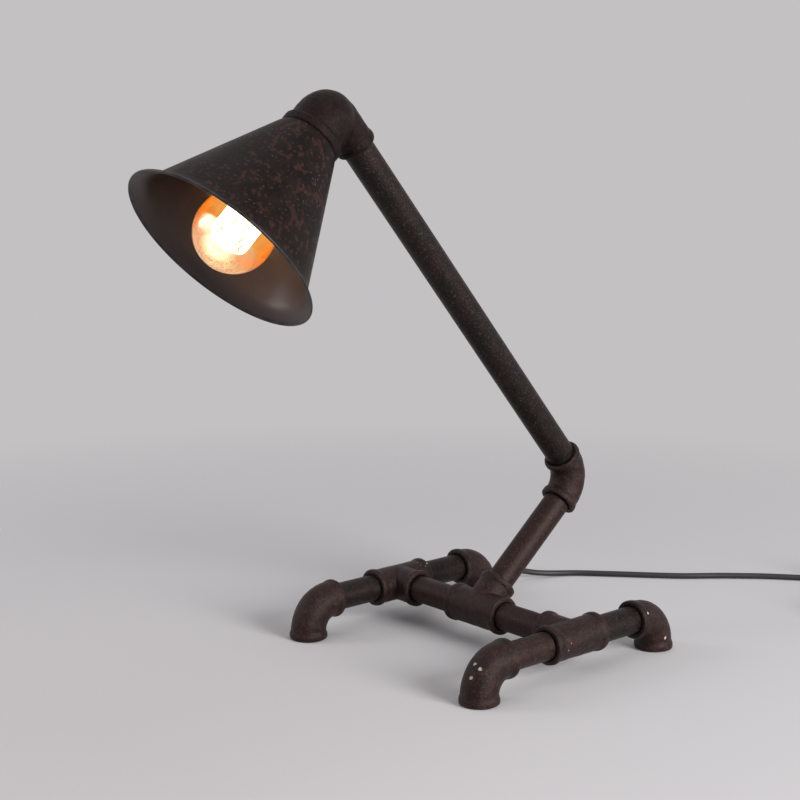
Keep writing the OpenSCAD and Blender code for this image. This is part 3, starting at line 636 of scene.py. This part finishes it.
inner = [foot + mm(*p) for p in (
    (0, 8, -19), (0, 0, -18), (0, -7, -14), (0, -14, -8), (0, -21, -3), (0, -30, 0))]
inner += [side + mm(*p) for p in ((0, 40, 0), (0, 17, 0), (1, 9, 0), (4, 4, 0), (9, 1, 0), (17, 0, 0))]
wire("lead_in_base", [CORD_EXIT] + inner + [TEE_AT - TILT_CUT * X], CORD_R,
     "cord", "base", "base_lead", slot="cord")
wire("lead_in_riser", [
    TEE_AT - (TILT_CUT - GAP) * X, TEE_AT - mm(12, 0, 0), TEE_AT - mm(4, 0, 0) + 4 * MM * RISER_DIR,
    TEE_AT + 12 * MM * RISER_DIR, TEE_AT + SWING_CUT * RISER_DIR], CORD_R,
    "cord", "riser", "riser_lead", slot="cord")
wire("lead_in_arm", [
    TEE_AT + (SWING_CUT + GAP) * RISER_DIR, ELBOW_AT - 18 * MM * RISER_DIR,
    ELBOW_AT - 9 * MM * RISER_DIR + MM * ARM_DIR, ELBOW_AT - 4 * MM * RISER_DIR + 4 * MM * ARM_DIR,
    ELBOW_AT - MM * RISER_DIR + 9 * MM * ARM_DIR, ELBOW_AT + 18 * MM * ARM_DIR,
    ELBOW_AT + TURN_CUT * ARM_DIR], CORD_R, "cord", "arm", "arm_lead", slot="cord")
wire("lead_in_head", [
    HEAD_AT - (ARM - TURN_CUT - GAP) * ARM_DIR, HEAD_AT - 14 * MM * ARM_DIR,
    HEAD_AT - 8 * MM * ARM_DIR + MM * SHADE_DIR, HEAD_AT - 3 * MM * ARM_DIR + 4 * MM * SHADE_DIR,
    HEAD_AT + 9 * MM * SHADE_DIR, HEAD_AT + (BULB_FROM - 14 * MM) * SHADE_DIR],
    CORD_R, "cord", "head", "head_lead", slot="cord")

# ------------------------------------------------------------ fittings and pipes
for body, names in (("base", ("foot_elbow_fl", "foot_elbow_fr", "foot_elbow_rl", "foot_elbow_rr",
                              "side_tee_left", "side_tee_right")),
                    ("riser", ("centre_tee",)), ("arm", ("middle_elbow",)), ("head", ("head_elbow",))):
    for name in names:
        softened(name, 0.7, 2, "head" if body == "head" else "fitting", body, "fitting", uneven=0.25)

THREAD_R, THREAD_IN, PITCH, CREST = 12.01 * MM, 12.5 * MM, 1.8 * MM, 0.5 * MM
CHAMFER, SHADE_BAND, PIPE_STEPS = 0.4 * MM, 1.9 * MM, 12


def crests(low, high):
    """A thread's roots and crests between two heights, cut as rings."""
    return [p for i in range(int((high - low) / PITCH)) for p in (
        (THREAD_R - CREST, low + PITCH * i), (THREAD_R, low + PITCH * (i + 0.5)))]


def pipe_piece(node, at, x, z, radius, length, from_reach, to_reach, material, body, slot):
    """A pipe between the centres of two fittings of the given reach: its bore, its threaded ends, and
    a band of painted shade beside each fitting. The full width goes 1 mm into each fitting's mouth."""
    start, end = from_reach - THREAD_IN, length - to_reach + THREAD_IN
    low, high = from_reach - 1 * MM, length - to_reach + 1 * MM
    outline = [(BORE_R, start), (THREAD_R - CREST, start)] + crests(start + 0.3 * MM, low - CHAMFER)
    outline += [(THREAD_R - CHAMFER, low), (radius - CHAMFER, low), (radius, low + CHAMFER)]
    outline += [(radius, low + SHADE_BAND)]
    outline += [(radius, low + (high - low) * i / PIPE_STEPS) for i in range(1, PIPE_STEPS)]
    outline += [(radius, high - SHADE_BAND)]
    outline += [(radius, high - CHAMFER), (radius - CHAMFER, high), (THREAD_R - CHAMFER, high)]
    outline += crests(high + CHAMFER, end - 0.3 * MM) + [(THREAD_R - CREST, end), (BORE_R, end)]
    outline += [(BORE_R, start)]
    # Painted shade: the stretches next to each fitting's mouth get the near-black material.
    beyond_shade_band = [low + SHADE_BAND < (p[1] + q[1]) / 2 < high - SHADE_BAND for p, q in zip(outline, outline[1:])]
    return lathe("pipe_" + node, outline, aim(at, x, z), [material, "grime"], body, node, around=96,
                 slot=slot, bands=[0 if each else 1 for each in beyond_shade_band])


for tag, sx, sy in (("fl", -1, -1), ("fr", 1, -1), ("rl", -1, 1), ("rr", 1, 1)):
    pipe_piece("bar_pipe_" + tag, (sx * HALF_X, BASE_BACK, REACH), X, Vector((0, sy, 0)), PIPE_R, HALF_Y,
               REACH, REACH, "pipe" if tag == "fr" else "dark_pipe", "base", "pipe")
for tag, sx in (("left", -1), ("right", 1)):
    pipe_piece("cross_pipe_" + tag, TEE_AT, Z, Vector((sx, 0, 0)), PIPE_R, HALF_X,
               REACH, REACH, "riser", "base", "pipe")
pipe_piece("riser_pipe", TEE_AT, X, RISER_DIR, PIPE_R, RISER, REACH, REACH, "riser", "riser", "pipe")
pipe_piece("arm_pipe", ELBOW_AT, X, ARM_DIR, ARM_R, ARM, REACH, HEAD_SMALL, "arm", "arm", "arm_pipe")

# ------------------------------------------------------------ shade
TOP_R, HOLE_R, SHEET, BEND_R, BEAD_IN = 28 * MM, 19.6 * MM, 1 * MM, 1.2 * MM, 1.3 * MM
CONE_STEPS, LIP_STEPS = 24, 8
lip_at = HEAD_LARGE + SHADE_LEN


def cone(i):
    """The cone's outside after i steps down from its top."""
    t = i / CONE_STEPS
    return TOP_R + (SHADE_R - TOP_R) * t, HEAD_LARGE + SHADE_LEN * t


def flare(i):
    """The lip's outside, which curves from the cone's own slope out to the bead."""
    t = i / LIP_STEPS
    r = SHADE_R + (LIP_R - BEAD_IN - SHADE_R) * (0.62 * t + 0.38 * t * t)
    return r, lip_at + LIP_LEN * (1.18 * t - 0.18 * t * t)


outside = [(HOLE_R, HEAD_LARGE), (TOP_R - BEND_R, HEAD_LARGE)]
outside += arc((TOP_R - BEND_R, HEAD_LARGE + BEND_R), BEND_R, -90, -10, 5)
outside += [cone(i) for i in range(1, CONE_STEPS)] + [flare(i) for i in range(LIP_STEPS + 1)]
bead = arc((LIP_R - BEAD_IN, lip_at + LIP_LEN - 0.2 * MM), BEND_R, -60, 150, 10)
inside = [(r - SHEET, z + 0.4 * SHEET) for r, z in reversed([flare(i) for i in range(LIP_STEPS)])]
inside += [(r - SHEET, z) for r, z in reversed([cone(i) for i in range(1, CONE_STEPS)])]
inside += in_mm([(26.6, 2), (25.6, 1), (19.6, 1)], up=HEAD_LARGE)
profile = outside + bead + inside + [outside[0]]
bands = [0] * (len(outside) - 1) + [2] * (len(bead) + 1) + [1] * (len(inside) - 1) + [0]
lathe("shade_cone", profile, AT_HEAD, ["shade", "inside", "rim"], "head", "shade", around=256,
      slot="shade", bands=bands)

# Painted shadow: a near-black ring in the gap between the head's bead and the shade.
seam = [(23, -0.1), (27.4, -0.1), (27.65, 0.25), (27.4, 0.6), (23, 0.6), (23, -0.1)]
lathe("shade_seam_shadow", in_mm(seam, up=HEAD_LARGE), AT_HEAD, "grime", "head", slot="shade")
softened("shade_collar", 0.4, 3, "fitting", "head", "fitting")
softened("lampholder", 0.45, 3, "holder", "head", "holder")
dress("brass", "lampholder_nut", "screw_shell", "centre_spring", "terminal_screws", "bulb_cap")
dress("holder", "bulb_insulator")
dress("plated", "bulb_contact")
dress("stem", "bulb_stem")
dress("support", "filament_supports")

# ------------------------------------------------------------ bulb
NECK_TO, GLASS_FROM, NECK_R = 28.5 * MM, 22 * MM, 12.4 * MM
SHOULDER_STEPS, GLASS_INSET = 40, 0.05 * MM
wide_z = BULB_LEN - BULB_R


def bulb_outline(inset):
    """The glass from its neck through the shoulder to the round front."""
    out = [(NECK_R - inset, GLASS_FROM), (NECK_R - inset, NECK_TO - 2 * MM)]
    for i in range(SHOULDER_STEPS + 1):
        t = i / SHOULDER_STEPS
        s = t ** 0.92
        swell = (BULB_R - NECK_R) * s * s * (3 - 2 * s)
        out.append((NECK_R + swell - inset, NECK_TO + (wide_z - NECK_TO) * t))
    return out + arc((0, wide_z), BULB_R - inset, 3, 87, 28) + [(0, BULB_LEN - inset)]


lathe("bulb_envelope", bulb_outline(GLASS_INSET), AT_BULB, "glass", "bulb", "bulb_glass", around=160,
      slot="bulb_glass")

HOOKS, LOW_R, HIGH_R, CAGE_LOW, CAGE_HIGH = 15, 11 * MM, 15 * MM, 58 * MM, 108 * MM
STRAND_R, STRAND_STEPS = 0.4 * MM, 6


def hook(i):
    """The place of a hook, which holds the strand by turns low and high in the cage."""
    turn = 2 * math.pi * i / (HOOKS + 1)
    r, z = (LOW_R, CAGE_LOW) if i % 2 == 0 else (HIGH_R, CAGE_HIGH)
    return AT_BULB @ Vector((r * math.cos(turn), r * math.sin(turn), z))


strand = []
for i in range(HOOKS - 1):
    strand += [hook(i).lerp(hook(i + 1), k / STRAND_STEPS) for k in range(STRAND_STEPS)]
wire("filament_strands", strand + [hook(HOOKS - 1)], STRAND_R, "filament", "bulb", "filament",
     slot="filament", resolution=2)

# The glare round the strands is a drum and five nested shells; they aren't parts of the lamp.
glow = [(0, 46), (9, 47)] + arc((13, 57), 4, -60, 0, 5) + [(17.3, 57 + 4 * i) for i in range(1, 15)]
glow += arc((14, 115), 3.2, 0, 80, 5) + [(0, 119.5)]
lathe("cage_glow", in_mm(glow), AT_BULB, "glow", "bulb", around=64, slot="filament")
HALO_MIDDLE, HALO_HALF, HALO_SHARES = 97 * MM, 38 * MM, (0.92, 0.84, 0.76, 0.68, 0.6)
halo_shape = []
for share in HALO_SHARES:
    for a in range(0, 181, 6):
        halo_shape.append((BULB_R * share * math.sin(math.radians(a)),
                           HALO_MIDDLE - HALO_HALF * share * math.cos(math.radians(a))))
lathe("cage_halo", halo_shape, AT_BULB, "halo", "bulb", around=64, slot="filament")

# ------------------------------------------------------------ floor, backdrop and light
BACKDROP, AMBIENT, FLOOR = (0.552, 0.533, 0.547), (0.3, 0.295, 0.305), (0.655, 0.636, 0.648)
FLOOR_HALF, BELOW = 30, 0.2 * MM                        # the floor lies just below the feet
FADE_FROM, FADE_TO = 0.5, 1.125                         # from the middle


def floor():
    """The table under the lamp, which fades into the backdrop."""
    mesh = bpy.data.meshes.new("floor")
    bm = bmesh.new()
    bmesh.ops.create_grid(bm, x_segments=1, y_segments=1, size=FLOOR_HALF)
    bm.to_mesh(mesh)
    bm.free()
    made = bpy.data.objects.new("floor", mesh)
    made.location.z = -BELOW
    scene.collection.objects.link(made)
    m = Material("floor")
    reach = m.node("VectorMath", [m.where], out="Value", operation="LENGTH")
    fade = reach.above((FADE_FROM + FADE_TO) / 2, (FADE_TO - FADE_FROM) / 2)
    lit = m.node("BsdfPrincipled", {"Base Color": FLOOR, "Roughness": 0.9, "Specular IOR Level": 0.1})
    mesh.materials.append(m.surface(m.node("MixShader", [fade, lit, m.node("BsdfTransparent")])))


floor()

# What the camera, glossy and see-through rays meet is the backdrop; the rest is plain soft light.
scene.world = bpy.data.worlds.new("studio")
sky = Shader(scene.world)
seen = sky.node("LightPath", out="Is Camera Ray")
for ray in ("Is Glossy Ray", "Is Transmission Ray"):
    seen = seen.math("MAXIMUM", sky.node("LightPath", out=ray))
sky.node("OutputWorld", {"Surface": sky.node("MixShader", [
    seen, sky.node("Background", {"Color": AMBIENT}), sky.node("Background", {"Color": BACKDROP})])})


def softbox(name, at, towards, size, watts):
    """A white area light of the given width and height that faces a point."""
    light = bpy.data.objects.new(name, bpy.data.lights.new(name, "AREA"))
    light.data.shape, light.data.size, light.data.size_y = "RECTANGLE", size[0], size[1]
    light.data.energy = watts
    light.location = at
    light.rotation_euler = (Vector(at) - Vector(towards)).to_track_quat("Z", "Y").to_euler()
    scene.collection.objects.link(light)


# The main light stands in front and to the right, as seen in the picture.
right = Vector((math.cos(AZ), math.sin(AZ), 0))
front = Vector((math.sin(AZ), -math.cos(AZ), 0))
middle = Vector((0, 0, 0.25))
key_at = middle + 2.05 * right + 1.75 * front + 0.75 * Z
softbox("key", key_at, (0.1, 0, 0.05), (1.2, 1.5), 92)
softbox("top", middle + 2.6 * Z, middle, (2.2, 2.2), 11)
softbox("left", (-1.33, -1.14, 1.07), AT_HEAD.translation, (0.7, 0.95), 7.5)

# The bulb's own light, small, so that the shade's inside stays dark as in the picture.
bulb_light = bpy.data.objects.new("bulb_light", bpy.data.lights.new("bulb_light", "POINT"))
bulb_light.data.energy, bulb_light.data.color = 0.22, (1.0, 0.4, 0.1)
bulb_light.data.shadow_soft_size = 20 * MM
bulb_light.location = AT_BULB @ Vector((0, 0, 0.5 * (CAGE_LOW + CAGE_HIGH)))
scene.collection.objects.link(bulb_light)
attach(bulb_light, "bulb")
